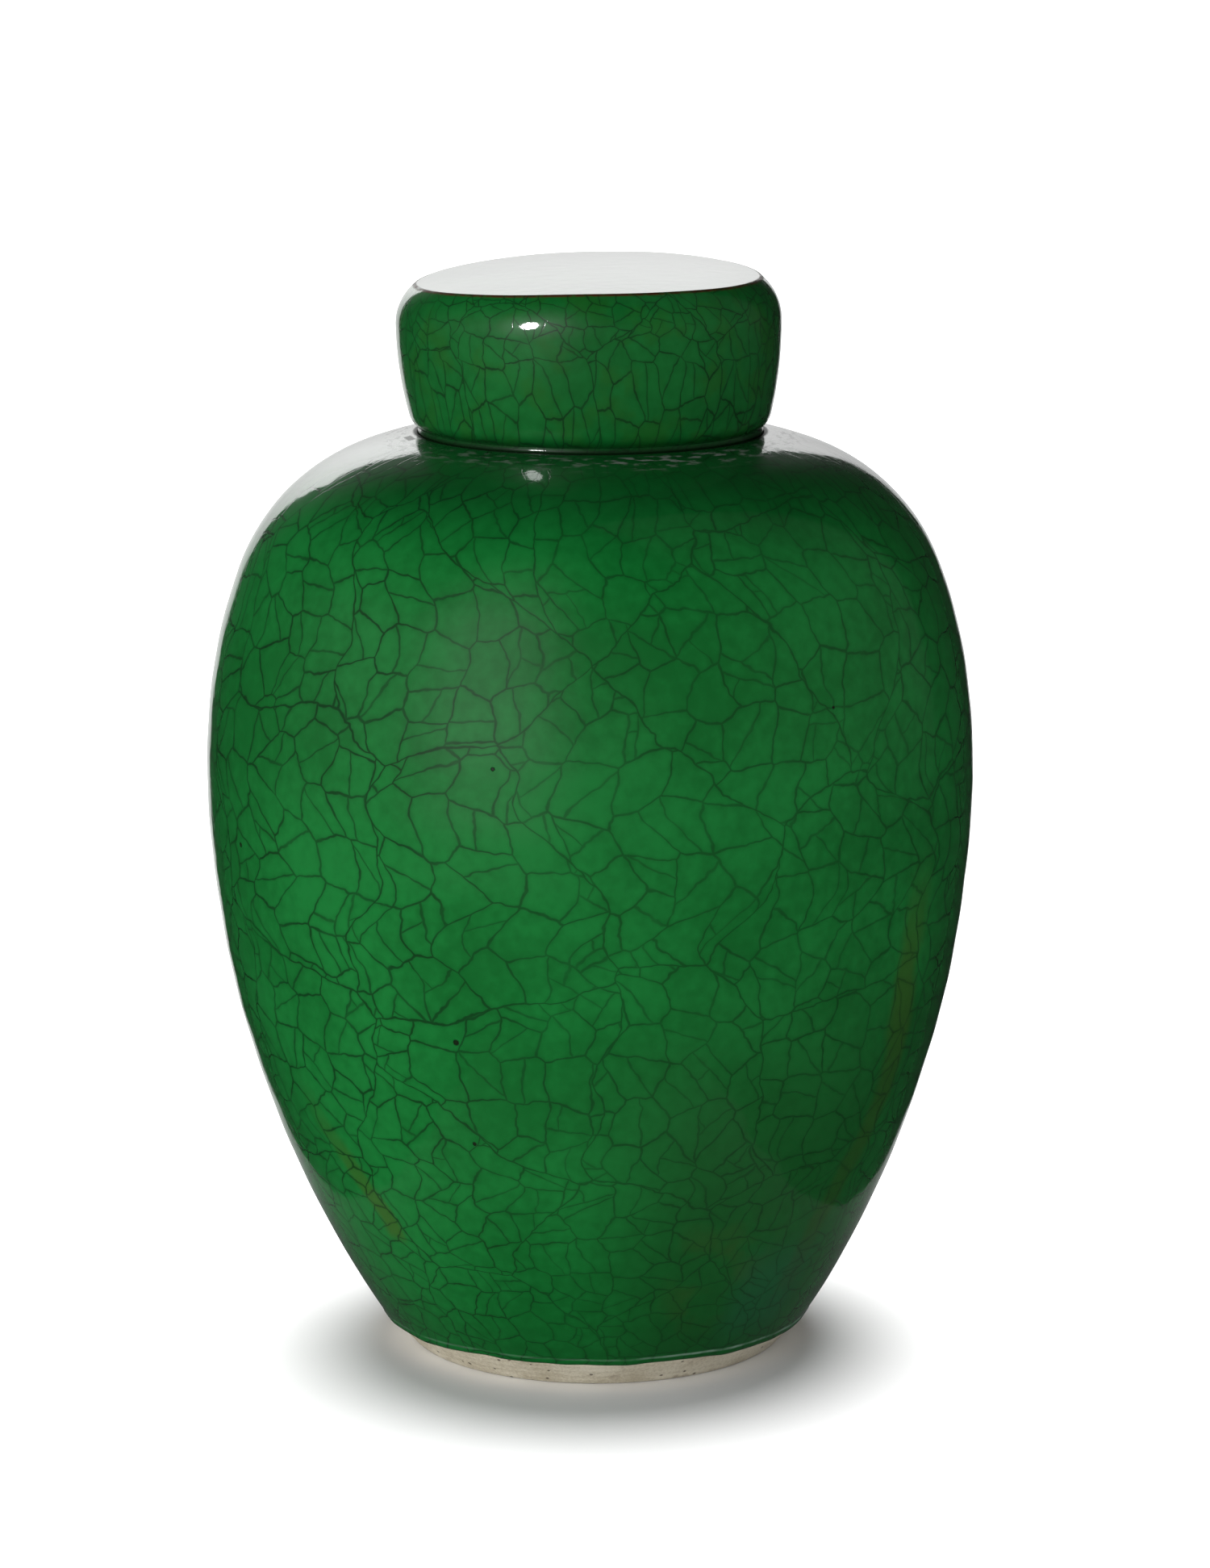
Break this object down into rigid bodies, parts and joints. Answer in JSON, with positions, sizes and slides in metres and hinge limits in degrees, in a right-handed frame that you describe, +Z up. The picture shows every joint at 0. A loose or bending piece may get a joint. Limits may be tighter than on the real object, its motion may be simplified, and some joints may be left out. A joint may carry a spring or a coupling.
{
  "type": "ginger jar",
  "caption": "Ovoid stoneware jar on a bare foot ring, with a short neck hidden under a cap-shaped lift-off cover, in crackled green glaze.",
  "frame": {"origin": "centre of the foot ring, on the surface the jar stands on", "axes": "+Z up along the jar's axis of revolution; X and Y are equivalent"},
  "size_m": [0.1436, 0.1436, 0.2032],
  "materials": {
    "biscuit": "unglazed fired clay",
    "green_glaze": "glossy crackled lead-green glaze",
    "pale_glaze": "glossy crackled off-white glaze"
  },
  "bodies": {
    "jar": {"jar_body": "biscuit", "jar_outer_glaze": "green_glaze", "jar_inner_glaze": "pale_glaze", "jar_base_glaze": "pale_glaze"},
    "cover": {"cover_body": "biscuit", "cover_outer_glaze": "green_glaze", "cover_inner_glaze": "pale_glaze"}
  },
  "joints": [
    {"name": "cover_lift", "type": "slide", "parent": "jar", "child": "cover", "axis": [0, 0, 1], "range_m": [0, 0.06]}
  ]
}
